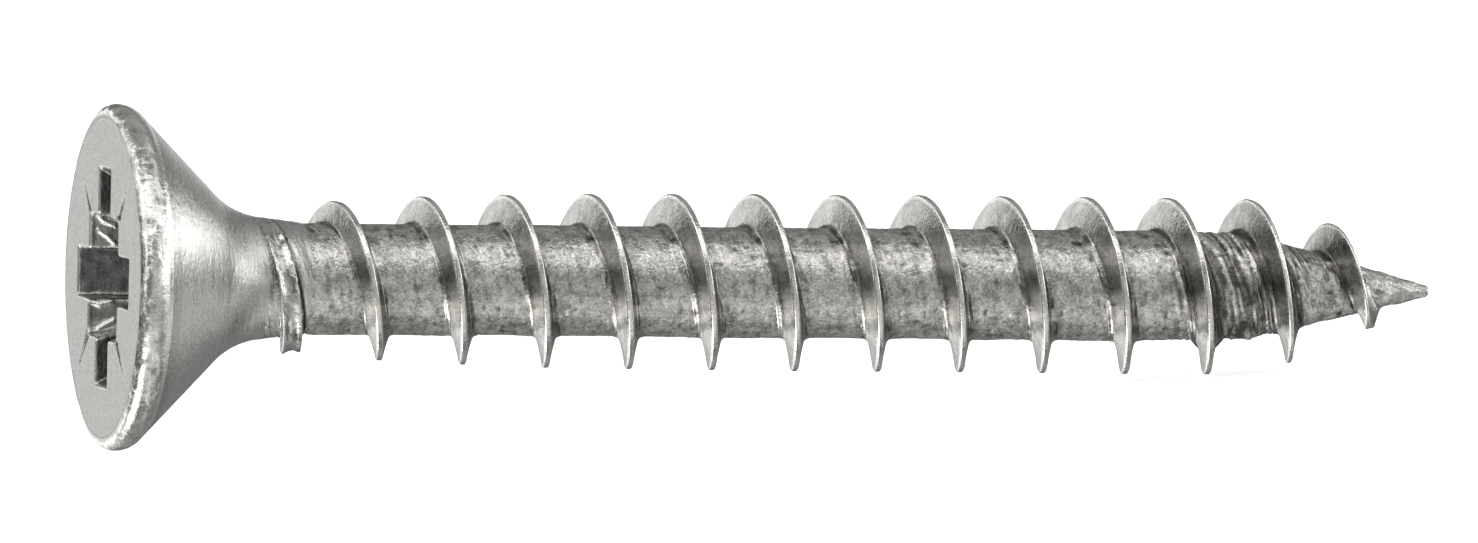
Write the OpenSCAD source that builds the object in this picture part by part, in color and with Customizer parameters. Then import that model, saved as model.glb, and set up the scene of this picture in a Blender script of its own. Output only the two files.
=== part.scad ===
// Countersunk wood screw with a cross recess and a coarse thread up to its neck.
// The screw lies along +X: the flat face of the head is at x = 0, the tip at x = screw_length.
// Every zone is turned about Z first, with Z as the distance from the face, and then laid along X.

/* [Screw] */
// Length from the flat face to the tip
screw_length = 35; // [30:0.5:60]
// Diameter over the highest thread crests
thread_d = 4.55; // [4.3:0.05:4.7]
// Diameter of the core between the turns
core_d = 2.85; // [2.7:0.05:3]
// Distance from one turn to the next
pitch = 2.184; // [2:0.004:2.4]

/* [Head] */
// Diameter of the head
head_d = 8.9; // [8.6:0.1:9.4]
// Radius of the rounded front edge
edge_round = 0.3; // [0.25:0.05:0.4]
// Depth at which the cone under the head begins
cone_start = 0.57; // [0.5:0.01:0.7]
// Angle between the cone's side and the axis
cone_half_angle = 45; // [45:1:46]
// Angle between the neck's side and the axis
neck_angle = 7.5; // [6:0.5:9]
// Radius of the hollow between the cone and the neck
neck_fillet = 2.2; // [1.4:0.1:2.6]
// Distance from the face to the end of the neck
neck_end = 5.2; // [5:0.1:5.6]

/* [Cross recess] */
// Length across opposite wings at the face
wing_span = 5.6; // [5.2:0.02:5.8]
// Width of a wing
wing_width = 1.25; // [1.1:0.05:1.4]
// Slope of a wing's end, measured from the axis
wing_slope = 26.5; // [24:0.5:28]
// Depth of the wings
recess_depth = 2.4; // [2:0.1:2.5]
// Radius of the middle pocket at the face
pocket_r = 2.05; // [1.9:0.05:2.1]
// Flats across the middle pocket
pocket_flats = 3.1; // [3:0.1:3.4]
// Radius at the outer end of the diagonal tick marks
tick_reach = 3.4; // [3.2:0.1:3.6]

/* [Point] */
// Length of the tapered point
point_length = 4.9; // [4.5:0.1:5.4]
// Radius of the blunt tip
tip_r = 0.13; // [0.1:0.01:0.18]

/* [Thread] */
// Distance from the face to the first trace of thread
thread_start = 4.18; // [4.16:0.02:4.6]
// Width of a turn where it stands on the core
foot_width = 0.6; // [0.5:0.02:0.7]
// Width of a turn's crest
crest_width = 0.12; // [0.1:0.01:0.2]
// Width of the blunt crest where the thread begins
blunt_width = 0.42; // [0.3:0.02:0.44]
// Distance from the end of the thread to the tip
bare_tip = 1.2; // [1:0.05:2]

/* [Hidden] */
$fn = 96;

head_r = head_d / 2;
core_r = core_d / 2;
thread_height = (thread_d - core_d) / 2;
face_r = head_r - edge_round;
rim_back = cone_start + edge_round / tan(cone_half_angle);
point_start = screw_length - point_length;
point_slope = (core_r - tip_r) / point_length;

// The straight cone meets the straight neck here, before the hollow rounds the corner.
corner_z = (head_r + cone_start * tan(cone_half_angle) - core_r - neck_end * tan(neck_angle))
    / (tan(cone_half_angle) - tan(neck_angle));
fillet_reach = neck_fillet * tan((cone_half_angle - neck_angle) / 2);
neck_start = corner_z - fillet_reach * cos(cone_half_angle);
fillet_steps = 10;

// The recess cutters start this far outside the face.
overshoot = 0.5;
tick_start = 1;
tick_depth = 0.12;
tick_width = 0.24;
pocket_narrowing = 0.5;
pocket_floor_r = pocket_r - pocket_narrowing;
dimple_depth = 0.35;
dimple_r = 0.2;

// The sweep makes one turn of the thread in this many steps.
steps_per_turn = 40;
turns = round((screw_length - bare_tip - thread_start) / pitch * steps_per_turn) / steps_per_turn;
// The first trace lies just past the top, on the near side. Zero degrees is the underside.
thread_angle = -160;
trace_height = 0.02;
waist_height = 0.45;
waist_share = 0.45;
thin_crest = 0.08;

// The thread rises blunt from the neck, and its first turns are a little low and early.
rise_turns = 0.42;
blunt_height = 0.6;
settle_turns = 1.1;
runout_turns = 0.9;
lead_shift = 0.18;
shift_turns = 1.4;
// The turns are lower by this share at the neck, and grow to their full height halfway along.
swell = 0.15;

// The last turns stand on the point and end abruptly.
point_turns = 2.1;
fade_turns = 0.85;
fade_power = 4;
end_foot_share = 0.5;

function cone_radius(z) = head_r - (z - cone_start) * tan(cone_half_angle);

function neck_radius(z) = core_r + (neck_end - z) * tan(neck_angle);

function point_radius(z) = core_r - (z - point_start) * point_slope;

// Radius of the plain screw, without thread, between the neck's hollow and the tip.
function body_radius(z) = z < neck_end ? neck_radius(z) : z < point_start ? core_r : point_radius(z);

// From 0 at a to 1 at b, with a smooth start and finish.
function ease(t, a, b) = let (s = max(0, min(1, (t - a) / (b - a)))) s * s * (3 - 2 * s);

function mix(a, b, share) = a + (b - a) * share;

function turn_start_share(t) =
    ease(t, 0, rise_turns) * (1 - (1 - blunt_height) * exp(-max(0, t - rise_turns) / settle_turns));

function turn_end_share(t) = 1 - pow(max(0, t - turns + fade_turns) / fade_turns, fade_power);

function turn_swell(t) = 1 - swell * pow(max(0, 1 - 2 * t / turns), 2);

// Height of the thread over the core after t turns.
function turn_height(t) =
    mix(trace_height, thread_height, turn_start_share(t) * turn_swell(t) * turn_end_share(t));

function turn_crest(t) =
    mix(mix(blunt_width, crest_width, ease(t, rise_turns, runout_turns)), thin_crest,
        ease(t, turns - point_turns, turns));

function turn_foot(t) =
    mix(foot_width, foot_width * end_foot_share, ease(t, turns - fade_turns, turns));

// Distance from the face to the middle of the turn.
function turn_z(t) =
    thread_start + pitch * t - lead_shift * pow(sin(180 * min(1, t / shift_turns)), 2);

// The turn's section as [distance from its middle, height over the core] pairs, foot to foot.
function turn_section(t) =
    let (foot = turn_foot(t) / 2, crest = turn_crest(t) / 2, height = turn_height(t))
    let (waist = mix(crest, foot, waist_share))
    [
        [-foot, 0], [-waist, waist_height * height], [-crest, height],
        [crest, height], [waist, waist_height * height], [foot, 0]
    ];

// The section's corners in space. The foot stands just outside the core, because the
// sweep's straight steps would cut into the round core.
function turn_ring(t) =
    let (angle = thread_angle + 360 * t, z = turn_z(t))
    [
        for (corner = turn_section(t))
            let (r = body_radius(z + corner[0]) / cos(180 / steps_per_turn) + corner[1])
            [r * cos(angle), r * sin(angle), z + corner[0]]
    ];

module sweep_thread(first, last) {
    steps = round((last - first) * steps_per_turn);
    ring = 6;
    points = [for (i = [0 : steps]) each turn_ring(mix(first, last, i / steps))];
    sides = [
        for (i = [0 : steps - 1], k = [0 : ring - 1])
            let (a = i * ring + k, b = i * ring + (k + 1) % ring)
            each [[a, a + ring, b], [b, a + ring, b + ring]]
    ];
    end = steps * ring;
    caps = [
        [0, 1, 4, 5], [1, 2, 3, 4],
        [end + 5, end + 4, end + 1, end], [end + 4, end + 3, end + 2, end + 1]
    ];
    lay_along_x() polyhedron(points = points, faces = concat(sides, caps), convexity = 20);
}

// Turns what was modelled along Z so that Z becomes +X and its +X becomes the underside.
module lay_along_x() {
    rotate([0, 90, 0]) children();
}

module wing_slot() {
    half = wing_span / 2;
    reach = tan(wing_slope);
    rotate([90, 0, 0])
        linear_extrude(height = wing_width, center = true)
            polygon([
                [-half - overshoot * reach, -overshoot],
                [half + overshoot * reach, -overshoot],
                [half - recess_depth * reach, recess_depth],
                [-half + recess_depth * reach, recess_depth]
            ]);
}

module middle_pocket() {
    slope = pocket_narrowing / recess_depth;
    intersection() {
        translate([0, 0, -overshoot])
            cylinder(
                h = recess_depth + overshoot,
                r1 = pocket_r + overshoot * slope,
                r2 = pocket_floor_r
            );
        translate([0, 0, recess_depth / 2])
            cube([pocket_flats, pocket_flats, 2 * recess_depth], center = true);
    }
    translate([0, 0, recess_depth])
        cylinder(h = dimple_depth, r1 = pocket_floor_r, r2 = dimple_r);
}

module tick_mark() {
    translate([0, 0, -overshoot])
        linear_extrude(height = overshoot + tick_depth)
            polygon([[tick_start, -tick_width / 2], [tick_start, tick_width / 2], [tick_reach, 0]]);
}

module cross_recess() {
    for (turn = [0, 90])
        rotate(turn) wing_slot();
    middle_pocket();
    for (turn = [45 : 90 : 315])
        rotate(turn) tick_mark();
}

module head() {
    color("silver")
        lay_along_x()
            difference() {
                rotate_extrude()
                    polygon([
                        [0, 0], [face_r, 0], [face_r, rim_back],
                        [cone_radius(neck_start), neck_start], [0, neck_start]
                    ]);
                cross_recess();
            }
}

module head_rim() {
    color("gainsboro")
        lay_along_x()
            rotate_extrude()
                union() {
                    intersection() {
                        translate([face_r, edge_round]) circle(r = edge_round);
                        translate([face_r, 0]) square([edge_round, edge_round]);
                    }
                    polygon([
                        [face_r, edge_round], [head_r, edge_round],
                        [head_r, cone_start], [face_r, rim_back]
                    ]);
                }
}

module neck() {
    centre = [
        cone_radius(neck_start) + neck_fillet * cos(cone_half_angle),
        neck_start + neck_fillet * sin(cone_half_angle)
    ];
    hollow = [
        for (i = [0 : fillet_steps])
            let (side = mix(cone_half_angle, neck_angle, i / fillet_steps))
            centre - neck_fillet * [cos(side), sin(side)]
    ];
    color("silver")
        lay_along_x()
            rotate_extrude()
                polygon(concat([[0, neck_start]], hollow, [[core_r, neck_end], [0, neck_end]]));
}

module core() {
    color("darkgray")
        lay_along_x()
            translate([0, 0, neck_end]) cylinder(h = point_start - neck_end, r = core_r);
}

module point() {
    color("darkgray")
        lay_along_x() {
            translate([0, 0, point_start])
                cylinder(h = point_length - tip_r, r1 = core_r, r2 = point_radius(screw_length - tip_r));
            translate([0, 0, screw_length - tip_r])
                intersection() {
                    sphere(r = tip_r);
                    translate([0, 0, tip_r]) cube(2 * tip_r, center = true);
                }
        }
}

module thread_runout() {
    color("lightgray") sweep_thread(0, runout_turns);
}

module thread() {
    color("lightgray") sweep_thread(runout_turns, turns - point_turns);
}

module point_thread() {
    color("lightgray") sweep_thread(turns - point_turns, turns);
}

head();
head_rim();
neck();
core();
point();
thread_runout();
thread();
point_thread();
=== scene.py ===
import math

import bmesh
import bpy
import numpy as np
from mathutils import Matrix, Vector


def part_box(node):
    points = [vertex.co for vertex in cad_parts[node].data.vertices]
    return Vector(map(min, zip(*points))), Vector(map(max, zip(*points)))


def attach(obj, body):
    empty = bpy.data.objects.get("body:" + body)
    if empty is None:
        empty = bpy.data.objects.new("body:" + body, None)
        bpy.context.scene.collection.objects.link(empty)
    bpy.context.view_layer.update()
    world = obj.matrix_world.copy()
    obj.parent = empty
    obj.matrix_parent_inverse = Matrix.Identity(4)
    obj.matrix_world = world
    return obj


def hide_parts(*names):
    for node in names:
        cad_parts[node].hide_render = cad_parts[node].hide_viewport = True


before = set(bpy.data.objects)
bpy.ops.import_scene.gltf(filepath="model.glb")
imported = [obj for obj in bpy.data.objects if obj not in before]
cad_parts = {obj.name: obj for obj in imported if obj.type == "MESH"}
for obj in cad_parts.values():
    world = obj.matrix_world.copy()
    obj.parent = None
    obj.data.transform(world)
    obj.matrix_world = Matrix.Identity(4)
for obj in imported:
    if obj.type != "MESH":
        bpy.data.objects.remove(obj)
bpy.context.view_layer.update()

# Every length below is in millimetres, and MM turns it into Blender's metres.
# The screw lies along +X. An angle round it is counted from the underside, by way of +Y.
MM = 0.001


# ---------------------------------------------------------------- sizes, from the frame where it has them

def low(node, axis):
    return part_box(node)[0][axis] / MM


def high(node, axis):
    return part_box(node)[1][axis] / MM


X, Z = 0, 2
LENGTH = high("point", X)
HEAD_R = high("head_rim", Z)
FACE_R = high("head", Z)
RIM_BACK = high("head_rim", X)
NECK_START = low("neck", X)
NECK_START_R = high("neck", Z)
NECK_END = high("neck", X)
CORE_R = high("core", Z)
POINT_START = high("core", X)
THREAD_R = high("thread", Z)

EDGE_ROUND = HEAD_R - FACE_R
CONE_START = RIM_BACK - EDGE_ROUND
TIP_R = 0.13

# Angles between the axis and the sides of the cone and of the neck, in degrees, and the hollow between them.
CONE_ANGLE = 45
NECK_ANGLE = 7.5
NECK_FILLET = 2.2
NECK_SLOPE = math.tan(math.radians(NECK_ANGLE))

# The helix, as the part's source has it, but for a start that is 0.05 earlier.
PITCH = 2.184
THREAD_START = 4.13
THREAD_ANGLE = -160
LEAD_SHIFT = 0.18
SHIFT_TURNS = 1.4
RUNOUT_TURNS = 0.9
POINT_TURNS = 2.1
TURNS = 13.55
SWELL = 0.15

# The photographed screw isn't straight. Its head leans towards the front by CROOK degrees, about a point on
# the axis and over a stretch of the neck, and its tip hangs a little low.
CROOK = 2.2
CROOK_X = 3.6
CROOK_FULL, CROOK_NONE = 2.4, 4.6
TIP_DROP = 0.08
DROP_START = 31


# ---------------------------------------------------------------- numbers and noise

def mix(a, b, share):
    return a + (b - a) * share


def ease(value, start, end):
    """0 at start and 1 at end, with a smooth beginning and finish."""
    s = np.clip((value - start) / (end - start), 0, 1)
    return s * s * (3 - 2 * s)


# The random values repeat after so many cells, and the cells' corners are shifted off the model's flat faces.
NOISE_SIZE = 32
NOISE_SHIFT = 7.31


def noise(points, cell, seed):
    """Smooth value noise between -1 and 1 at an array of points. cell is a length, or one for each axis, and
    seed picks the random values."""
    values = np.random.default_rng(seed).random((NOISE_SIZE, NOISE_SIZE, NOISE_SIZE)) * 2 - 1
    scaled = points / np.asarray(cell, dtype=float) + NOISE_SHIFT
    corner = np.floor(scaled).astype(int)
    share = scaled - corner
    share = share * share * (3 - 2 * share)
    total = np.zeros(points.shape[:-1])
    for dx in (0, 1):
        for dy in (0, 1):
            for dz in (0, 1):
                at = (corner + (dx, dy, dz)) % NOISE_SIZE
                weight = (
                    (share[..., 0] if dx else 1 - share[..., 0])
                    * (share[..., 1] if dy else 1 - share[..., 1])
                    * (share[..., 2] if dz else 1 - share[..., 2])
                )
                total += weight * values[at[..., 0], at[..., 1], at[..., 2]]
    return total


LAYER_FADE = 0.55


def layered(points, cell, seed, layers=3):
    """Noise in layers, each half as large and a little over half as strong as the one before."""
    cell = np.asarray(cell, dtype=float)
    total, strength, most = 0, 1, 0
    for layer in range(layers):
        total = total + strength * noise(points, cell / 2 ** layer, seed + layer)
        most += strength
        strength *= LAYER_FADE
    return total / most


# The marks change over between these angles from the front, in radians.
SLANTED_TO, STRAIGHT_FROM = 2.2, 3.0


def along_helix(points, angle, cell, seed, layers=2):
    """Layered noise whose marks follow the thread's slant, and run straight round at the back."""
    from_front = (angle + 1.5 * math.pi) % (2 * math.pi) - math.pi
    slanted = points - np.stack([PITCH * from_front / (2 * math.pi), 0 * angle, 0 * angle], axis=-1)
    straight = ease(np.abs(from_front), SLANTED_TO, STRAIGHT_FROM)
    return mix(layered(slanted, cell, seed, layers), layered(points, cell, seed, layers), straight)


def ring_angles(count):
    return np.linspace(0, 2 * math.pi, count, endpoint=False)


def round_points(x, r, angle):
    """Points at a distance x from the face, a radius and an angle in radians from the underside."""
    x, r, angle = np.broadcast_arrays(x, r, angle)
    return np.stack([x, r * np.sin(angle), -r * np.cos(angle)], axis=-1)


# ---------------------------------------------------------------- meshes

def grid_normals(grid):
    """Unit normals of a grid whose columns close into rings."""
    along = np.gradient(grid, axis=0)
    around = np.roll(grid, -1, axis=1) - np.roll(grid, 1, axis=1)
    normal = np.cross(around, along)
    return normal / np.maximum(np.linalg.norm(normal, axis=-1, keepdims=True), 1e-9)


def crooked(grid):
    """Turns the head a little out of line with the shank, and lowers the tip."""
    pivot = np.array([CROOK_X, 0, 0])
    turn = np.radians(CROOK) * (1 - ease(grid[..., 0], CROOK_FULL, CROOK_NONE))
    c, s = np.cos(turn), np.sin(turn)
    x, y, z = np.moveaxis(grid - pivot, -1, 0)
    drop = TIP_DROP * ease(grid[..., 0], DROP_START, LENGTH)
    return np.stack([c * x - s * y, s * x + c * y, z - drop], axis=-1) + pivot


def raised(grid, height):
    return grid + grid_normals(grid) * height[..., None]


def ring_piece(name, grid, wear_and_painted_light, cap_first=None, cap_last=None):
    """A closed mesh from rings of points, with a fan to a middle point at each end that has one."""
    rows, columns = grid.shape[:2]
    grid = crooked(grid)
    points = list(grid.reshape(-1, 3) * MM)
    marks = list(np.broadcast_to(wear_and_painted_light, (rows, columns)).reshape(-1))
    row = np.arange(rows - 1)[:, None] * columns
    here, there = np.arange(columns), (np.arange(columns) + 1) % columns
    faces = np.stack(
        [row + here, row + there, row + columns + there, row + columns + here], axis=-1
    ).reshape(-1, 4).tolist()
    for middle, first in ((cap_first, 0), (cap_last, (rows - 1) * columns)):
        if middle is None:
            continue
        points.append(crooked(np.asarray(middle, dtype=float)) * MM)
        marks.append(marks[first])
        faces += [[first + a, first + b, len(points) - 1] for a, b in zip(here, there)]
    return mesh_piece(name, points, faces, marks)


SHARP_ANGLE = math.radians(70)


def mesh_piece(name, points, faces, marks):
    """A smooth shaded object with its wear, painted shade and painted highlights as an attribute of the
    points.
    """
    mesh = bpy.data.meshes.new(name)
    mesh.from_pydata([tuple(p) for p in points], [], faces)
    shaped = bmesh.new()
    shaped.from_mesh(mesh)
    bmesh.ops.recalc_face_normals(shaped, faces=shaped.faces)
    shaped.to_mesh(mesh)
    shaped.free()
    mesh.polygons.foreach_set("use_smooth", [True] * len(mesh.polygons))
    mesh.set_sharp_from_angle(angle=SHARP_ANGLE)
    wear_and_painted_light = mesh.attributes.new("wear_and_painted_light", "FLOAT", "POINT")
    wear_and_painted_light.data.foreach_set("value", np.asarray(marks, dtype=float))
    piece = bpy.data.objects.new(name, mesh)
    bpy.context.scene.collection.objects.link(piece)
    return piece


# ---------------------------------------------------------------- the steel

def shader_nodes(material):
    material.use_nodes = True
    nodes, links = material.node_tree.nodes, material.node_tree.links
    nodes.clear()
    return nodes, links


# How many of each kind of mark go into a millimetre, and the colour of a deep pit, which is also the darkest
# painted shade in the recess, the tick marks and the crease.
PATCHES, SCRATCHES, GRAINS = 3, 6, 16
PIT_AND_SHADE_COLOUR = (0.1, 0.095, 0.09, 1)


def steel(slot, dark, light, rough, grain, patchy, sandy, streak=(1, 1, 1)):
    """Bare metal between two greys and two roughnesses. grain is the fine bump's depth, patchy says how far
    the coarser marks change the grey and sandy how far the finest do, and streak stretches the coarser marks
    by a factor for each axis.

    The mesh's wear, with the painted shade and painted highlights in it, runs from -1 in a deep pit or the
    deepest painted shade, which is dark, to 1 on a rubbed edge or a painted highlight, which is light."""
    material = bpy.data.materials.new(slot)
    nodes, links = shader_nodes(material)

    def add(kind, **values):
        node = nodes.new(kind)
        for key, value in values.items():
            setattr(node, key, value)
        return node

    def marks(scale, detail, stretch=(1, 1, 1)):
        place = add("ShaderNodeMapping")
        place.inputs["Scale"].default_value = Vector(stretch) / MM
        links.new(where.outputs["Object"], place.inputs["Vector"])
        texture = add("ShaderNodeTexNoise")
        texture.inputs["Scale"].default_value = scale
        texture.inputs["Detail"].default_value = detail
        texture.inputs["Roughness"].default_value = 0.6
        links.new(place.outputs["Vector"], texture.inputs["Vector"])
        return texture.outputs["Fac"]

    def between(value, low_out, high_out, low_in=0.3, high_in=0.7):
        span = add("ShaderNodeMapRange")
        limits = {"From Min": low_in, "From Max": high_in, "To Min": low_out, "To Max": high_out}
        for key, number in limits.items():
            span.inputs[key].default_value = number
        links.new(value, span.inputs["Value"])
        return span.outputs["Result"]

    def plus(a, b):
        node = add("ShaderNodeMath", operation="ADD")
        links.new(a, node.inputs[0])
        links.new(b, node.inputs[1])
        return node.outputs["Value"]

    def bump(height, depth, under=None):
        node = add("ShaderNodeBump")
        node.inputs["Strength"].default_value = 1
        node.inputs["Distance"].default_value = depth * MM
        links.new(height, node.inputs["Height"])
        if under:
            links.new(under, node.inputs["Normal"])
        return node.outputs["Normal"]

    where = add("ShaderNodeTexCoord")
    patches = marks(PATCHES, 5, streak)
    fine = marks(GRAINS, 2)
    scratches = marks(SCRATCHES, 3, streak)
    wear_and_painted_light = add("ShaderNodeAttribute", attribute_name="wear_and_painted_light").outputs["Fac"]

    tone = plus(between(patches, 0.5 - patchy / 2, 0.5 + patchy / 2), between(wear_and_painted_light, -0.5, 0.5, -1, 1))
    tone = plus(tone, between(fine, -sandy, sandy))
    clean = add("ShaderNodeMix", data_type="RGBA", clamp_factor=True)
    clean.inputs["A"].default_value = (*dark, 1)
    clean.inputs["B"].default_value = (*light, 1)
    links.new(tone, clean.inputs["Factor"])
    shade = add("ShaderNodeMix", data_type="RGBA", clamp_factor=True)
    shade.inputs["B"].default_value = PIT_AND_SHADE_COLOUR
    links.new(clean.outputs["Result"], shade.inputs["A"])
    links.new(between(wear_and_painted_light, 1, 0, -1, -0.1), shade.inputs["Factor"])

    metal = add("ShaderNodeBsdfPrincipled")
    metal.inputs["Metallic"].default_value = 1
    links.new(shade.outputs["Result"], metal.inputs["Base Color"])
    links.new(between(scratches, *rough), metal.inputs["Roughness"])
    links.new(bump(fine, grain, bump(scratches, grain * 1.5)), metal.inputs["Normal"])
    out = add("ShaderNodeOutputMaterial")
    links.new(metal.outputs["BSDF"], out.inputs["Surface"])
    return material


def grey(value, warmth=0):
    """A neutral grey, or one with a little less blue and green in it."""
    return value, value * (1 - 0.2 * warmth), value * (1 - warmth)


FORGED = dict(
    dark=grey(0.46, 0.03), light=grey(0.76, 0.03), rough=(0.24, 0.32),
    grain=0.011, patchy=0.3, sandy=0.2, streak=(3, 0.8, 0.8),
)
FINISHES = {
    "head_steel": FORGED,
    "rim_steel": dict(
        dark=grey(0.58, 0.04), light=grey(0.99, 0.04), rough=(0.19, 0.3),
        grain=0.01, patchy=0.6, sandy=0.25,
    ),
    "neck_steel": FORGED,
    "core_steel": dict(
        dark=grey(0.34, 0.06), light=grey(0.86, 0.06), rough=(0.22, 0.4),
        grain=0.015, patchy=0.85, sandy=0.45,
    ),
    "thread_steel": dict(
        dark=grey(0.2, 0.05), light=grey(0.88, 0.05), rough=(0.15, 0.24),
        grain=0.009, patchy=0.3, sandy=0.2,
    ),
}
STEEL = {slot: steel(slot, **finish) for slot, finish in FINISHES.items()}


def finished(piece, node, slot):
    """Puts a piece in the place of its CAD node, on the screw's one body."""
    piece.data.materials.append(STEEL[slot])
    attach(piece, "root")
    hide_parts(node)


# ---------------------------------------------------------------- head

# The cross recess. The slopes and drafts say how much narrower it gets for each millimetre of depth.
WING_HALF = 2.8
WING_W = 0.64
WING_SLOPE = math.tan(math.radians(26.5))
WING_DRAFT = 0.03
POCKET_HALF = 1.57
POCKET_DRAFT = 0.22
# The pocket's corners, as shares of its half width: where a flat ends, and how far out the corner lies.
FLAT_END = 0.86
CORNER_OUT = 0.965
RECESS_DEPTH = 2.35
RECESS_BOTTOM = 2.75
LIP = 0.05
# The diagonal tick marks: where they begin and end, and their width and depth at either place.
TICK_INNER = 2.0
TICK_OUTER = 3.42
TICK_FADE = 0.2
TICK_W, TICK_TIP_W = 0.34, 0.06
TICK_DEPTH, TICK_TIP_DEPTH = 0.2, 0.03
# Painted shade in the recess's wings and pocket.
WING_SHADE = -0.62
POCKET_SHADE = -0.2
TRIM_DEPTH = 0.006
# Painted shade along the trimmed line round the face.
TRIM_SHADE = -0.5
# The rim's piece hides a step this far inside the face's edge.
STEP_IN = 0.08
# Rows of the mesh, and the powers that crowd them towards the lip and the face's rays towards the diagonals.
FLOOR_ROWS, RECESS_ROWS, FACE_ROWS, CONE_ROWS = 7, 49, 45, 70
RECESS_CROWDING, FACE_CROWDING, RAY_CROWDING = 1.4, 1.15, 1.5


def octant(depth):
    """The recess's outline from the end of a wing to the pocket's corner, at a depth."""
    wing = WING_HALF - WING_SLOPE * depth
    pocket = POCKET_HALF - POCKET_DRAFT * depth
    half = WING_W - WING_DRAFT * depth
    corner = pocket * CORNER_OUT
    path = [(wing, 0), (wing, half), (pocket, half), (pocket, pocket * FLAT_END), (corner, corner)]
    rounds = (0, 0.1, 0.14, 0.1, 0)
    counts = (10, 20, 18, 6)
    points = []
    for i, count in enumerate(counts):
        a, b = np.array(path[i], float), np.array(path[i + 1], float)
        step = (b - a) / np.linalg.norm(b - a)
        first, last = a + step * rounds[i], b - step * rounds[i + 1]
        shares = np.linspace(0, 1, count)[:, None]
        points.append(mix(first, last, shares))
        if rounds[i + 1]:
            after = np.array(path[i + 2], float) - b
            after = b + after / np.linalg.norm(after) * rounds[i + 1]
            t = np.linspace(0, 1, 6)[1:-1, None]
            points.append((1 - t) ** 2 * last + 2 * t * (1 - t) * b + t ** 2 * after)
    return np.concatenate(points)


def recess_outline(depth):
    """The whole cross as a closed ring of (y, z) points."""
    half = octant(depth)
    mirrored = half[::-1][:, ::-1]
    quarter = np.concatenate([half[:-1], mirrored[:-1]])
    ring = []
    for turn in range(4):
        c, s = math.cos(turn * math.pi / 2), math.sin(turn * math.pi / 2)
        ring.append(quarter @ np.array([[c, s], [-s, c]]))
    return np.concatenate(ring)


def outward_2d(ring):
    along = np.roll(ring, -1, axis=0) - np.roll(ring, 1, axis=0)
    normal = np.stack([along[:, 1], -along[:, 0]], axis=-1)
    return normal / np.linalg.norm(normal, axis=-1, keepdims=True)


def face_angles(count):
    """Directions at which the face's rays meet its edge, closer together near the diagonals."""
    per_octant = count // 8
    share = np.arange(per_octant) / per_octant
    rising = 45 * (1 - (1 - share) ** RAY_CROWDING)
    falling = 90 - 45 * (1 - share ** RAY_CROWDING)
    quarter = np.concatenate([rising, falling])
    return np.radians(np.concatenate([quarter + 90 * turn for turn in range(4)]))


def tick_depth(y, z):
    """How deep the four diagonal tick marks are at a place on the face."""
    along = (np.abs(y) + np.abs(z)) / math.sqrt(2)
    across = (np.abs(y) - np.abs(z)) / math.sqrt(2)
    share = np.clip((along - TICK_INNER) / (TICK_OUTER - TICK_INNER), 0, 1)
    width = mix(TICK_W, TICK_TIP_W, share)
    depth = mix(TICK_DEPTH, TICK_TIP_DEPTH, share)
    depth = depth * (1 - ease(along, TICK_OUTER - TICK_FADE, TICK_OUTER))
    return depth * np.clip(1 - np.abs(across) / (width / 2), 0, 1)


# Curls of metal that the punch left on the pocket's walls, as (x, |y|, z) points.
CURLS = [
    [(0.02, 1.5, 1.62), (0.2, 1.5, 1.58), (0.36, 1.48, 1.36), (0.66, 1.44, 1.24)],
    [(0.22, 1.5, 1.12), (0.44, 1.48, 0.98), (0.62, 1.44, 0.8)],
    [(0.03, 1.5, -0.74), (0.3, 1.5, -0.8), (0.6, 1.46, -0.72)],
    [(0.2, 1.5, -1.6), (0.3, 1.5, -1.42), (0.5, 1.47, -1.3), (0.66, 1.44, -1.2)],
    [(0.04, 1.5, 0.72), (0.06, 1.5, 1.3)],
]
CURL_WIDTH = 0.055
CURL_HEIGHT = 0.07


def near_curls(grid):
    """1 on the middle line of a curl, and 0 away from them all."""
    points = np.stack([grid[..., 0], np.abs(grid[..., 1]), grid[..., 2]], axis=-1)
    nearest = np.full(grid.shape[:2], 9.0)
    for curl in CURLS:
        corners = np.array(curl)
        for a, b in zip(corners[:-1], corners[1:]):
            along = np.clip(((points - a) @ (b - a)) / ((b - a) @ (b - a)), 0, 1)
            away = np.linalg.norm(points - a - along[..., None] * (b - a), axis=-1)
            nearest = np.minimum(nearest, away)
    return np.exp(-(nearest / CURL_WIDTH) ** 2)


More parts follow.
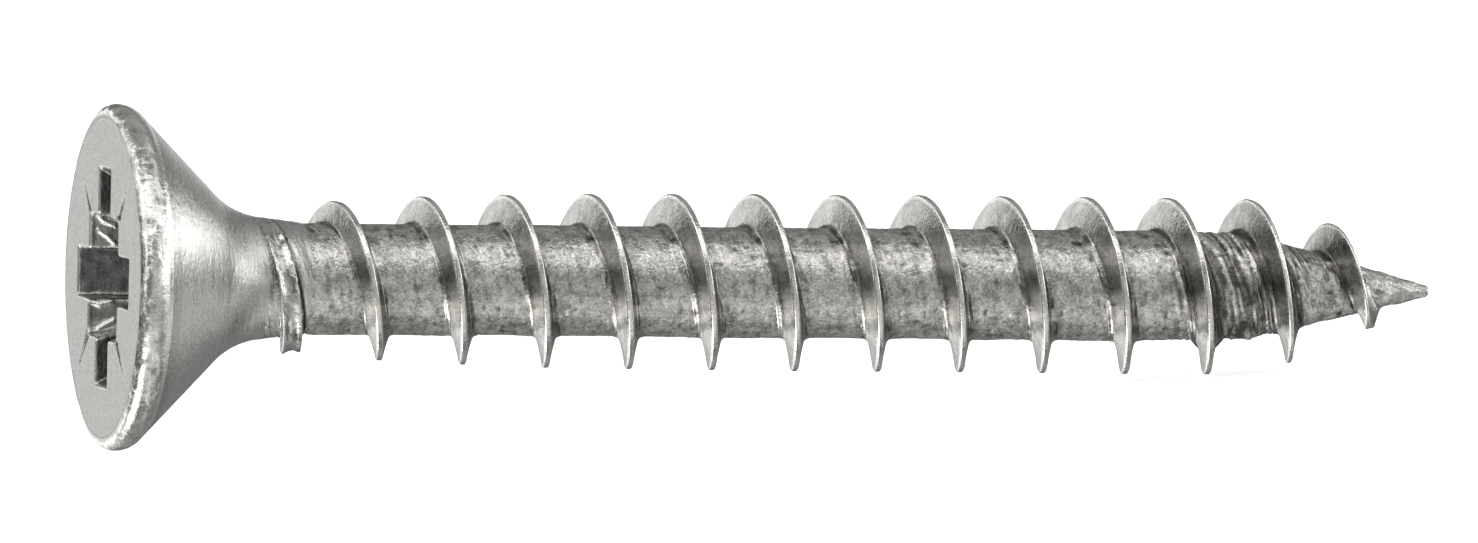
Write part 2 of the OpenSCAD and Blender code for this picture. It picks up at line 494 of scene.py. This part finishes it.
def build_head():
    edge = recess_outline(0)
    count = len(edge)
    out = outward_2d(edge)
    rows, wear_and_painted_light = [], []

    def row(yz, x, mark):
        rows.append(np.stack([np.broadcast_to(x, count), yz[:, 0], yz[:, 1]], axis=-1))
        wear_and_painted_light.append(np.broadcast_to(mark, count))

    # The recess, from its bottom up to the lip. Its bottom and wings get painted shade and the pocket between
    # them less, with a painted shadow just under the lip and more painted shade deeper down.
    floor = recess_outline(RECESS_DEPTH)
    for share in np.linspace(0.08, 1, FLOOR_ROWS + 1)[:-1]:
        row(floor * share, mix(RECESS_BOTTOM, RECESS_DEPTH, share), -1)
    for depth in RECESS_DEPTH * (1 - np.linspace(0, 1, RECESS_ROWS + 1)[:-1]) ** RECESS_CROWDING:
        if depth > LIP:
            yz = recess_outline(depth)
            in_wing = np.min(np.abs(yz), axis=-1) < WING_W + 0.02
            shaded = -0.5 * (1 - ease(depth, 0.08, 0.16)) - 0.6 * ease(depth, 0.5, 1.6)
            row(yz, depth, np.where(in_wing, WING_SHADE, POCKET_SHADE + shaded))
    for turn in np.radians(np.linspace(0, 90, 5)):
        row(edge + out * LIP * (1 - math.cos(turn)), LIP * (1 - math.sin(turn)), 0.1)
    face_first = len(rows)

    # The face, from the lip out to the rim.
    angles = face_angles(count)
    circle = FACE_R * np.stack([np.cos(angles), np.sin(angles)], axis=-1)
    start = edge + out * LIP
    for share in np.linspace(0, 1, FACE_ROWS + 1)[1:]:
        share = share ** FACE_CROWDING
        yz = mix(start, circle, share)
        groove = tick_depth(yz[:, 0], yz[:, 1])
        # Painted shade darkens the tick marks' grooves.
        row(yz, groove, 0.1 - 1.1 * np.clip(groove / 0.04, 0, 1))

    # The hidden step under the rim, and the cone down to the neck.
    spread = np.stack([np.cos(angles), np.sin(angles)], axis=-1)
    for x in np.linspace(0, RIM_BACK - 0.02, 6)[1:]:
        row(spread * (FACE_R - STEP_IN), x, 0)
    cone_first = len(rows)
    for share in np.linspace(0, 1, CONE_ROWS):
        row(spread * mix(FACE_R, NECK_START_R, share), mix(RIM_BACK, NECK_START, share), 0)

    grid, wear_and_painted_light = np.array(rows), np.array(wear_and_painted_light)
    # Forming marks: rough in the recess, with its curls painted lighter as a painted highlight, faint rings
    # on the cone with painted shade on it next to the rim, and a trimmed line round the face with painted
    # shade along it.
    x, r = grid[..., 0], np.linalg.norm(grid[..., 1:], axis=-1)
    index = np.arange(len(grid))[:, None]
    in_recess = (index < face_first) & (x > 0.02)
    curls = near_curls(grid) * in_recess
    height = in_recess * (0.03 * layered(grid, 0.3, 11) + CURL_HEIGHT * curls)
    # The curls get a painted highlight.
    wear_and_painted_light = wear_and_painted_light + 1.7 * curls + in_recess * 0.35 * layered(grid, 0.2, 13)
    on_cone = index >= cone_first
    rings = layered(grid, (0.06, 1.2, 1.2), 23)
    height += on_cone * 0.0035 * rings * ease(x, RIM_BACK, RIM_BACK + 0.3)
    wear_and_painted_light = wear_and_painted_light + on_cone * 0.12 * rings * (1 - ease(x, NECK_START - 0.5, NECK_START))
    # Painted shade on the cone next to the rim.
    wear_and_painted_light = wear_and_painted_light - on_cone * 0.3 * (1 - ease(x, RIM_BACK, RIM_BACK + 0.6))
    on_face = (index >= face_first) & ~on_cone & (r < FACE_R - 0.01)
    trimmed = on_face * ease(r, FACE_R - 0.12, FACE_R - 0.04)
    height -= TRIM_DEPTH * trimmed
    wear_and_painted_light = wear_and_painted_light + TRIM_SHADE * trimmed
    height += on_face * 0.003 * layered(grid, 0.5, 31) * (1 - ease(r, FACE_R - 0.4, FACE_R - 0.02))
    grid = raised(grid, height)
    bottom = (RECESS_BOTTOM + 0.01, 0, 0)
    return ring_piece("head_body", grid, wear_and_painted_light, cap_first=bottom, cap_last=(NECK_START, 0, 0))


# The round at the back of the rim, and the dents and wider hollows all round it.
BACK_ROUND = 0.5
RIM_COLUMNS = 1200
DENT_DEPTH = 0.022
HOLLOW_DEPTH = 0.035


def build_rim():
    angle = ring_angles(RIM_COLUMNS)
    # The front edge is round, a short band follows, and a wide round leads over into the cone's slope.
    arc = np.radians(np.linspace(0, 90, 20))
    profile = [(EDGE_ROUND * (1 - math.cos(t)), FACE_R + EDGE_ROUND * math.sin(t)) for t in arc]
    turned = BACK_ROUND * math.tan(math.radians(CONE_ANGLE / 2))
    arc = np.radians(np.linspace(0, CONE_ANGLE, 12))
    profile += [
        (CONE_START - turned + BACK_ROUND * math.sin(t), HEAD_R - BACK_ROUND * (1 - math.cos(t)))
        for t in arc
    ]
    bruised = len(profile)
    last = np.array(profile[-1])
    profile += [tuple(mix(last, (RIM_BACK, FACE_R), s)) for s in np.linspace(0, 1, 6)[1:]]
    profile += [(x, FACE_R - 0.05) for x in np.linspace(RIM_BACK - 0.06, 0.02, 5)]
    profile = np.array(profile)
    grid = round_points(profile[:, 0, None], profile[:, 1, None], angle[None, :])
    # Dents from the barrel that the screws were tumbled in, over both rounds and the band between them.
    share = np.arange(len(profile)) / (bruised - 1)
    amount = np.sin(np.clip(share, 0, 1) * math.pi)[:, None] ** 0.5
    dents = layered(grid, 0.26, 41, 3)
    hollows = ease(noise(grid, 0.34, 47), 0.1, 0.9)
    height = -amount * (DENT_DEPTH * (1 - dents) + HOLLOW_DEPTH * hollows)
    trimmed = (1 - ease(share, 0.06, 0.16))[:, None]
    # The trimmed edge next to the face gets painted shade.
    wear_and_painted_light = amount * (1.1 * dents - 0.5 * hollows + 0.22) + TRIM_SHADE * trimmed
    grid = raised(grid, height)
    return ring_piece("rounded_rim", np.concatenate([grid, grid[:1]]), np.concatenate([wear_and_painted_light, wear_and_painted_light[:1]]))


# ---------------------------------------------------------------- neck, core and point

def body_radius(x):
    """Radius of the plain screw between the neck's hollow and the tip."""
    x = np.asarray(x, dtype=float)
    neck = CORE_R + (NECK_END - x) * NECK_SLOPE
    taper = CORE_R - (x - POINT_START) * (CORE_R - TIP_R) / (LENGTH - POINT_START)
    return np.where(x < NECK_END, neck, np.where(x < POINT_START, CORE_R, taper))


def pits(grid, cell, seed, share=0.25):
    """Small hollows, 0 between them and up to 1 in their middles."""
    return ease(noise(grid, cell, seed), 1 - 2 * share, 1)


def beside_ridge(x, angle):
    """How far a place lies past the run-out ridge's middle line, and how strong the ridge is there."""
    t = (np.degrees(angle) - THREAD_ANGLE) / 360 % 1
    return x - turn_x(t), ease(t, 0.0, 0.12) * (1 - ease(t, 0.7, 0.9))


# The fold lies this far past the ridge's middle line.
CREASE_PAST = 0.34
CREASE_W = 0.05
CREASE_DEPTH = 0.05
# Painted shade in the fold.
CREASE_SHADE = -1.2


def crease(x, angle):
    """The fold along the point's side of the run-out ridge, from 0 to 1."""
    past, strength = beside_ridge(x, angle)
    return strength * np.exp(-((past - CREASE_PAST) / CREASE_W) ** 2)


NECK_COLUMNS = 480


def build_neck():
    cone = math.radians(CONE_ANGLE)
    centre_x = NECK_START + NECK_FILLET * math.sin(cone)
    centre_r = NECK_START_R + NECK_FILLET * math.cos(cone)
    turns = cone - np.linspace(0, math.radians(CONE_ANGLE - NECK_ANGLE), 56)
    profile = [(centre_x - NECK_FILLET * math.sin(t), centre_r - NECK_FILLET * math.cos(t)) for t in turns]
    last = profile[-1][0]
    profile += [(x, float(body_radius(x))) for x in np.linspace(last, NECK_END, 50)[1:]]
    profile = np.array(profile)
    angle = ring_angles(NECK_COLUMNS)
    grid = round_points(profile[:, 0, None], profile[:, 1, None], angle[None, :])
    x = grid[..., 0]
    rings = layered(grid, (0.05, 0.8, 0.8), 53)
    hollows = pits(grid, (0.1, 0.3, 0.3), 57, 0.15)
    marks = along_helix(grid, np.broadcast_to(angle, x.shape), (0.07, 0.9, 0.9), 59)
    fold = crease(x, angle)
    fade = ease(x, NECK_START, NECK_START + 0.2) * (1 - ease(x, NECK_END - 0.15, NECK_END))
    near_thread = ease(x, 3.6, 4.3)
    height = fade * (0.006 * rings - 0.012 * hollows + 0.02 * marks * near_thread) - CREASE_DEPTH * fold
    wear_and_painted_light = fade * (0.3 * rings * ease(x, NECK_START, NECK_START + 0.6) - 0.5 * hollows)
    wear_and_painted_light = wear_and_painted_light + 1.1 * near_thread * marks + CREASE_SHADE * fold
    return ring_piece(
        "neck_body", raised(grid, height), wear_and_painted_light,
        cap_first=(NECK_START, 0, 0), cap_last=(NECK_END, 0, 0),
    )


# The core gets rougher over the first stretch, and the torn metal comes and goes over the other two.
ROUGHER = 8, 24
TORN_IN = 27, 29.3
TORN_OUT = 31, 32
TEAR_DEPTH = 0.038


def core_surface(grid, angle):
    """Height, and wear with painted light, of the rolled surface between the turns: specks carry painted
    glints, and the band just past each turn and the fold by the run-out ridge get painted shade. It is torn
    where the point was cut.
    """
    x = grid[..., 0]
    rough = ease(x, *ROUGHER)
    torn = ease(x, *TORN_IN) * (1 - ease(x, *TORN_OUT))
    mottle = layered(grid, (0.3, 0.24, 0.24), 61)
    grain = layered(grid, 0.11, 63, 2)
    streaks = along_helix(grid, angle, (0.09, 0.55, 0.55), 67)
    tears = 1 - 3 * np.abs(along_helix(grid, angle, (0.13, 1.6, 1.6), 69))
    hollows = pits(grid, 0.2, 71, 0.3)
    # Raised specks, painted lighter as painted glints.
    specks_and_glints = pits(grid, 0.13, 77, 0.22)
    waves = noise(grid, (0.9, 0.6, 0.6), 73)
    started = 1 - ease(x, NECK_END + 0.2, NECK_END + 1.2)
    # Scuffs that the rolling left in front of each turn's foot.
    past_turn = ((x - THREAD_START) / PITCH - (np.degrees(angle) - THREAD_ANGLE) / 360) % 1
    scuffs = ease(past_turn, 0.62, 0.76) * (1 - ease(past_turn, 0.84, 0.9)) * (x > NECK_END + 0.6)
    scuffs = scuffs * ease(along_helix(grid, angle, (0.07, 0.45, 0.45), 113), 0, 0.5)
    # Just past each turn the marks are calmer, and painted shade darkens the band.
    smooth = ease(past_turn, 0.1, 0.14) * (1 - ease(past_turn, 0.22, 0.3))
    height = (
        (0.006 + 0.008 * rough) * mottle
        + 0.004 * grain * (0.5 + rough)
        + (0.005 + 0.007 * rough + 0.01 * started) * streaks
        - (0.01 + 0.014 * rough) * hollows
        + 0.01 * specks_and_glints * rough
        + 0.02 * waves
        + 0.012 * scuffs
        - TEAR_DEPTH * torn * (1 + tears)
    )
    wear_and_painted_light = (
        0.3 * mottle + 0.35 * grain + (0.4 + 0.3 * started) * streaks - 0.8 * hollows
        + 1.3 * specks_and_glints + 1.0 * scuffs
    ) * (1 - 0.6 * smooth) - 0.25 * smooth - 1.15 * torn * (tears - 0.1)
    fold = crease(x, angle) * (x > NECK_END)
    return height - CREASE_DEPTH * fold, wear_and_painted_light + CREASE_SHADE * fold


CORE_ROWS, POINT_ROWS, CORE_COLUMNS = 560, 170, 172


def build_core():
    x = np.linspace(NECK_END, POINT_START, CORE_ROWS)
    angle = ring_angles(CORE_COLUMNS)
    grid = round_points(x[:, None], body_radius(x)[:, None], angle[None, :])
    height, wear_and_painted_light = core_surface(grid, np.broadcast_to(angle, grid.shape[:2]))
    grid = raised(grid, height)
    return ring_piece("core_body", grid, wear_and_painted_light, cap_first=(NECK_END, 0, 0), cap_last=(POINT_START, 0, 0))


# On the point, pinched metal comes in, the core's marks get weaker, and the steel gets lighter.
PINCH_IN = 31, 32.5
PINCH_HEIGHT = 0.03
CALMER = 32, 34
CALMER_WEAR = 32.5, 33.5
LIGHTER = 32.8, 33.8


def build_point():
    x = np.concatenate([
        np.linspace(POINT_START, LENGTH - TIP_R, POINT_ROWS),
        LENGTH - TIP_R + TIP_R * np.sin(np.linspace(0, 0.5 * math.pi * 0.95, 8))[1:],
    ])
    past = np.clip((x - (LENGTH - TIP_R)) / TIP_R, 0, 1)
    radius = np.where(past > 0, body_radius(LENGTH - TIP_R) * np.sqrt(1 - past ** 2), body_radius(x))
    angle = ring_angles(CORE_COLUMNS)
    grid = round_points(x[:, None], radius[:, None], angle[None, :])
    height, wear_and_painted_light = core_surface(grid, np.broadcast_to(angle, grid.shape[:2]))
    x = grid[..., 0]
    pinch = layered(grid, (0.4, 0.16, 0.16), 79, 2)
    height = height * (1 - 0.6 * ease(x, *CALMER)) + PINCH_HEIGHT * (pinch - 0.3) * ease(x, *PINCH_IN)
    height *= 1 - ease(x, LENGTH - 0.4, LENGTH)
    wear_and_painted_light = wear_and_painted_light * (1 - 0.6 * ease(x, *CALMER_WEAR)) - 0.15 + 0.35 * ease(x, *LIGHTER)
    grid = raised(grid, height)
    return ring_piece("point_body", grid, wear_and_painted_light, cap_first=(POINT_START, 0, 0), cap_last=(LENGTH, 0, 0))


# ---------------------------------------------------------------- thread

STEPS_PER_TURN = 200
# Widths of the crest, of its blunt start, of its thin end near the tip, and of the foot.
CREST_W = 0.15
BLUNT_W = 0.5
THIN_W = 0.07
FOOT_W = 0.55
# The fillet at the foot: its width, and the share of the height over which it curves.
FILLET_W = 0.13
FILLET_SHARE = 0.12
# The crest is rounded above this share of the height, by this much on each side.
CREST_SHARE = 0.94
CREST_ROUND = 0.045
# Height of a full turn, and of the first trace.
FULL_HEIGHT = 0.85
TRACE_HEIGHT = 0.02
# The thread rises to a blunt start that lacks a share of the height, gains it over the next turns, and fades
# over its last one.
RISE_TURNS = 0.42
BLUNT_LOSS = 0.4
SETTLE_TURNS = 1.1
FADE_TURNS = 0.85
# Its crest widens to a hook before its end. Both numbers are turns before the end.
HOOK_W = 0.17
HOOK_START, HOOK_FULL = 0.34, 0.12
GROOVE_DEPTH = 0.07
# How much the crest wanders, how deep its nicks are, and how finely both change along a turn.
WANDER = 0.025
NICK_DEPTH = 0.05
CHANGES_PER_TURN = 14
# How much painted shade darkens the flanks, and how much more near the tip.
FLANK_SHADE, MORE_FLANK_SHADE = 0.26, 0.14


def turn_x(t):
    shift = LEAD_SHIFT * np.sin(math.pi * np.minimum(1, t / SHIFT_TURNS)) ** 2
    return THREAD_START + PITCH * t - shift


def turn_angle(t):
    return np.radians(THREAD_ANGLE + 360 * t)


def turn_height(t):
    start = ease(t, 0, RISE_TURNS)
    start = start * (1 - BLUNT_LOSS * np.exp(-np.maximum(0, t - RISE_TURNS) / SETTLE_TURNS))
    grown = 1 - SWELL * np.maximum(0, 1 - 2 * t / TURNS) ** 2
    end = 1 - (np.maximum(0, t - TURNS + FADE_TURNS) / FADE_TURNS) ** 4
    return mix(TRACE_HEIGHT, FULL_HEIGHT, start * grown * end)


def turn_crest(t):
    width = mix(BLUNT_W, CREST_W, ease(t, RISE_TURNS, RUNOUT_TURNS))
    width = mix(width, THIN_W, ease(t, TURNS - POINT_TURNS, TURNS))
    return width + HOOK_W * ease(t, TURNS - HOOK_START, TURNS - HOOK_FULL)


def thread_section():
    """The flank from below the core's surface up to the crest, as shares of the height. With each comes a
    share of the way out from crest to foot, and of the fillet that runs out level into the core."""
    shares = np.concatenate([
        [-0.16, 0.0, 0.006, 0.02, 0.045, 0.08], np.linspace(0.12, CREST_SHARE, 10),
        CREST_SHARE + (1 - CREST_SHARE) * np.array([0.4, 0.7, 0.9, 1]),
    ])
    flare = (1 - np.clip(shares, 0, 1)) ** 1.1
    down = 1 - np.clip(shares / FILLET_SHARE, 0, 1)
    fillet = 1 - np.sqrt(1 - down ** 2) + np.where(shares < 0, 0.7, 0)
    return shares, flare, fillet


def build_thread(name, first, last):
    t = np.linspace(first, last, int(round((last - first) * STEPS_PER_TURN)) + 1)[:, None]
    shares, flare, fillet = thread_section()
    crest, height = turn_crest(t), turn_height(t)
    small = np.clip(height / FULL_HEIGHT, 0.15, 1)
    top = np.clip((shares - CREST_SHARE) / (1 - CREST_SHARE), 0, 1)
    edge_in = CREST_ROUND * (1 - np.sqrt(1 - top ** 2))
    half = (
        crest / 2 - edge_in + (FOOT_W - crest) / 2 * flare * np.clip(small * 1.6, 0, 1)
        + FILLET_W * fillet * small
    )
    # Across the top, so that a wide crest can have a lip along each edge.
    middle = crest / 2 * np.array([[-0.55, -0.2, 0.2, 0.55]])
    offset = np.concatenate([-half, middle, half[:, ::-1]], axis=1)
    wide = ease(crest, CREST_W, BLUNT_W)
    groove = wide * np.concatenate([0 * shares, [0.6, 1, 1, 0.6], 0 * shares])
    up = np.concatenate([shares, np.ones(4), shares[::-1]])[None, :]
    rise = height * up - GROOVE_DEPTH * groove
    x = turn_x(t) + offset
    angle = np.broadcast_to(turn_angle(t), x.shape)
    grid = round_points(x, body_radius(x) + rise, angle)

    # The crest wanders a little and is nicked, and the flanks carry faint rolling lines.
    at_crest = ease(up, 0.6, 1)
    along = np.stack([t[:, 0] * CHANGES_PER_TURN, t[:, 0] * 0, t[:, 0] * 0], axis=-1)
    wander = layered(along, 1.6, 83)[:, None]
    nicks = ease(layered(along, 0.9, 89)[:, None], 0.35, 0.9)
    lift = at_crest * (WANDER * wander - NICK_DEPTH * nicks)
    grid = grid + round_points(0 * x, lift, angle)
    lines = layered(grid, 0.3, 97, 2)
    grain = layered(grid, 0.12, 101, 2)
    beaten = wide * layered(grid, 0.18, 103, 2)
    grid = raised(grid, (0.005 * lines + 0.002 * grain + 0.03 * beaten) * (up > 0))
    at_foot = 1 - ease(up, 0.0, 0.1)
    point_side = np.concatenate([np.zeros(len(shares) + 4), np.ones(len(shares))])
    flank_shade = FLANK_SHADE + MORE_FLANK_SHADE * ease(t, TURNS - 2.6, TURNS - 1.4)
    on_flank = 0.15 * lines + 0.1 * grain - flank_shade
    at_end = ease(t, TURNS - 0.6, TURNS - 0.35)
    # Painted light on the thread: painted shade on the feet and in the crest's groove, a lighter crest that
    # is partly rubbed wear and partly a painted highlight, and a painted highlight on the point side of the
    # last turn's end.
    wear_and_painted_light = (
        mix(on_flank, 0.6 * core_surface(grid, angle)[1], at_foot)
        + 1.3 * ease(up, 0.88, 1) * (1 - wide)
        + wide * (0.7 * layered(grid, 0.25, 107, 2) + 0.8) * at_crest - 0.4 * groove
        + 0.9 * point_side * at_end
        + at_foot * (layered(grid, (0.12, 0.3, 0.3), 127, 2) - 0.35 - 0.6 * ease(t, TURNS - 3, TURNS - 2))
    )
    ends = [grid[i].mean(axis=0) for i in (0, -1)]
    return ring_piece(name, grid, wear_and_painted_light, cap_first=ends[0], cap_last=ends[1])


# ---------------------------------------------------------------- the screw

finished(build_head(), "head", "head_steel")
finished(build_rim(), "head_rim", "rim_steel")
finished(build_neck(), "neck", "neck_steel")
finished(build_core(), "core", "core_steel")
finished(build_point(), "point", "core_steel")
finished(build_thread("runout_ridge", 0, RUNOUT_TURNS), "thread_runout", "thread_steel")
finished(build_thread("thread_turns", RUNOUT_TURNS, TURNS - POINT_TURNS), "thread", "thread_steel")
finished(build_thread("point_turns", TURNS - POINT_TURNS, TURNS), "point_thread", "thread_steel")


# ---------------------------------------------------------------- floor, light and camera

FLOOR_HALF = 2.5
FLOOR_GREY = 0.9
FLOOR_GLOW = 0.75


def build_floor():
    """A pale sheet under the screw, leaning so that the rim and the last full turns both lie on it."""
    rise = (HEAD_R - THREAD_R) / (POINT_START - CONE_START)
    material = bpy.data.materials.new("pale_floor")
    nodes, links = shader_nodes(material)
    paper = nodes.new("ShaderNodeBsdfPrincipled")
    paper.inputs["Base Color"].default_value = (FLOOR_GREY, FLOOR_GREY, FLOOR_GREY, 1)
    paper.inputs["Roughness"].default_value = 0.9
    paper.inputs["Specular IOR Level"].default_value = 0.1
    paper.inputs["Emission Color"].default_value = (1, 1, 1, 1)
    paper.inputs["Emission Strength"].default_value = FLOOR_GLOW
    out = nodes.new("ShaderNodeOutputMaterial")
    links.new(paper.outputs["BSDF"], out.inputs["Surface"])

    mesh = bpy.data.meshes.new("floor")
    corners = [(x * FLOOR_HALF, y * FLOOR_HALF, 0) for x, y in ((-1, -1), (1, -1), (1, 1), (-1, 1))]
    mesh.from_pydata(corners, [], [(0, 1, 2, 3)])
    mesh.materials.append(material)
    floor = bpy.data.objects.new("floor", mesh)
    bpy.context.scene.collection.objects.link(floor)
    floor.location = (CONE_START * MM, 0, -HEAD_R * MM)
    floor.rotation_euler = (0, -math.atan(rise), 0)
    floor.visible_glossy = False
    floor.visible_shadow = False


# Azimuth and elevation of the middle, half width, half height, all in degrees, and strength.
# Azimuth 0 is in front of the screw, 90 past its point, 180 behind it.
SOFTBOXES = [
    (-2, 58, 25, 23, 1.55),     # main softbox, high in front
    (-45, 46, 24, 18, 1.0),     # its return on the head's side
    (-18, 24, 14, 10, 1.0),     # small one in front, for the back of the rim
    (68, 40, 22, 16, 0.9),      # above the point, for the neck
    (110, 7.5, 14, 10, 4.5),    # past the point, for the cone
    (78, 12, 17, 12, 2.6),      # beside it, for the hollow at the neck
    (98, -13, 30, 12, 0.72),    # table past the point
    (155, 8, 14, 8, 0.8),       # pale wall past the point
    (186, -4, 26, 10, 0.51),    # pale backdrop, for the face
    (207, 8, 23, 9, 1.35),      # pale wall above it, for the tops of the turns
    (205, -20, 22, 12, 1.6),    # table behind
    (180, 55, 60, 30, 0.25),    # ceiling behind
    (20, 3, 34, 16, 0.4),       # room in front
    (52, 4, 28, 14, 0.52),      # room in front, past the point
    (0, -48, 50, 32, 0.62),     # table in front
    (165, -52, 40, 24, 0.23),   # table underneath
    (-92, 29, 34, 21, 1.4),     # high on the head's side, for the rim and the feet of the turns
    (-80, 0, 16, 14, 0.9),      # between that and the next, for the middle of the rim and the crests
    (-80, -60, 34, 19, 1.8),    # low on the head's side, for the rim and the crests
    (-112, -62, 30, 13, 1.8),   # behind that, for the back of the rim
    (98, 54, 20, 11, 0.5),      # high past the point, for the back of the rim
    (82, -58, 18, 11, 0.7),     # low past the point, for the back of the rim
    (45, 34, 15, 12, 1.1),      # small one beside the main softbox, for the rim and the neck
    (143, -19, 20, 9, 0.18),    # table past the point, behind the cone
]
# Strength of the room between them.
ROOM = 0.08


def build_world():
    """A soft studio: white where the camera looks past the screw, and a dark room with a table and
    softboxes in everything that the metal mirrors."""
    world = bpy.data.worlds.new("studio")
    bpy.context.scene.world = world
    world.use_nodes = True
    nodes, links = world.node_tree.nodes, world.node_tree.links
    nodes.clear()
    where = nodes.new("ShaderNodeTexCoord")

    def calculate(operation, a, b):
        node = nodes.new("ShaderNodeMath")
        node.operation = operation
        for socket, value in zip(node.inputs, (a, b)):
            if isinstance(value, (int, float)):
                socket.default_value = value
            else:
                links.new(value, socket)
        return node.outputs["Value"]

    def towards(direction):
        dot = nodes.new("ShaderNodeVectorMath")
        dot.operation = "DOT_PRODUCT"
        links.new(where.outputs["Generated"], dot.inputs[0])
        dot.inputs[1].default_value = direction
        return dot.outputs["Value"]

    def softbox(azimuth, elevation, half_width, half_height, strength):
        a, e = math.radians(azimuth), math.radians(elevation)
        middle = Vector((math.sin(a) * math.cos(e), -math.cos(a) * math.cos(e), math.sin(e)))
        across = Vector((math.cos(a), math.sin(a), 0))
        up = middle.cross(across)
        away = 0
        for direction, half in ((across, half_width), (up, half_height)):
            share = calculate("DIVIDE", towards(direction), math.sin(math.radians(half)))
            away = calculate("ADD", calculate("MULTIPLY", share, share), away)
        soft = calculate("EXPONENT", calculate("MULTIPLY", calculate("MULTIPLY", away, away), -1.0), 0.0)
        facing = calculate("GREATER_THAN", towards(middle), 0.0)
        return calculate("MULTIPLY", calculate("MULTIPLY", soft, facing), strength)

    light = ROOM
    for patch in SOFTBOXES:
        light = calculate("ADD", softbox(*patch), light)
    seen = nodes.new("ShaderNodeLightPath")
    room = nodes.new("ShaderNodeBackground")
    links.new(light, room.inputs["Strength"])
    room.inputs["Color"].default_value = (1, 0.992, 0.98, 1)
    white = nodes.new("ShaderNodeBackground")
    white.inputs["Color"].default_value = (1, 1, 1, 1)
    either = nodes.new("ShaderNodeMixShader")
    links.new(seen.outputs["Is Camera Ray"], either.inputs["Fac"])
    links.new(room.outputs["Background"], either.inputs[1])
    links.new(white.outputs["Background"], either.inputs[2])
    out = nodes.new("ShaderNodeOutputWorld")
    links.new(either.outputs["Shader"], out.inputs["Surface"])


# The camera's direction and roll in degrees, its lens and sensor in millimetres, the width that its picture
# spans at the screw, the point that it looks at, and the nearest and farthest that it sees, in metres.
AZIMUTH, ELEVATION, ROLL = -12.8, 3.6, 1.31
LENS, SENSOR = 600, 36
VIEW_WIDTH = 38.0 * MM
AIM = Vector((16.7, 0, 0.28)) * MM
CLIP = 0.01, 50


def build_camera():
    """A long lens from the head's side of the front, so that the face shows as a narrow oval."""
    azimuth, elevation, roll = math.radians(AZIMUTH), math.radians(ELEVATION), math.radians(ROLL)
    back = Vector((
        math.sin(azimuth) * math.cos(elevation),
        -math.cos(azimuth) * math.cos(elevation),
        math.sin(elevation),
    ))
    camera_data = bpy.data.cameras.new("camera")
    camera_data.lens = LENS
    camera_data.sensor_width = SENSOR
    camera_data.clip_start, camera_data.clip_end = CLIP
    distance = VIEW_WIDTH * LENS / SENSOR
    camera = bpy.data.objects.new("camera", camera_data)
    bpy.context.scene.collection.objects.link(camera)
    turn = (-back).to_track_quat("-Z", "Y").to_matrix() @ Matrix.Rotation(roll, 3, "Z")
    camera.matrix_world = Matrix.Translation(AIM + back * distance) @ turn.to_4x4()
    bpy.context.scene.camera = camera


build_floor()
build_world()
build_camera()
bpy.context.scene.view_settings.view_transform = "Standard"
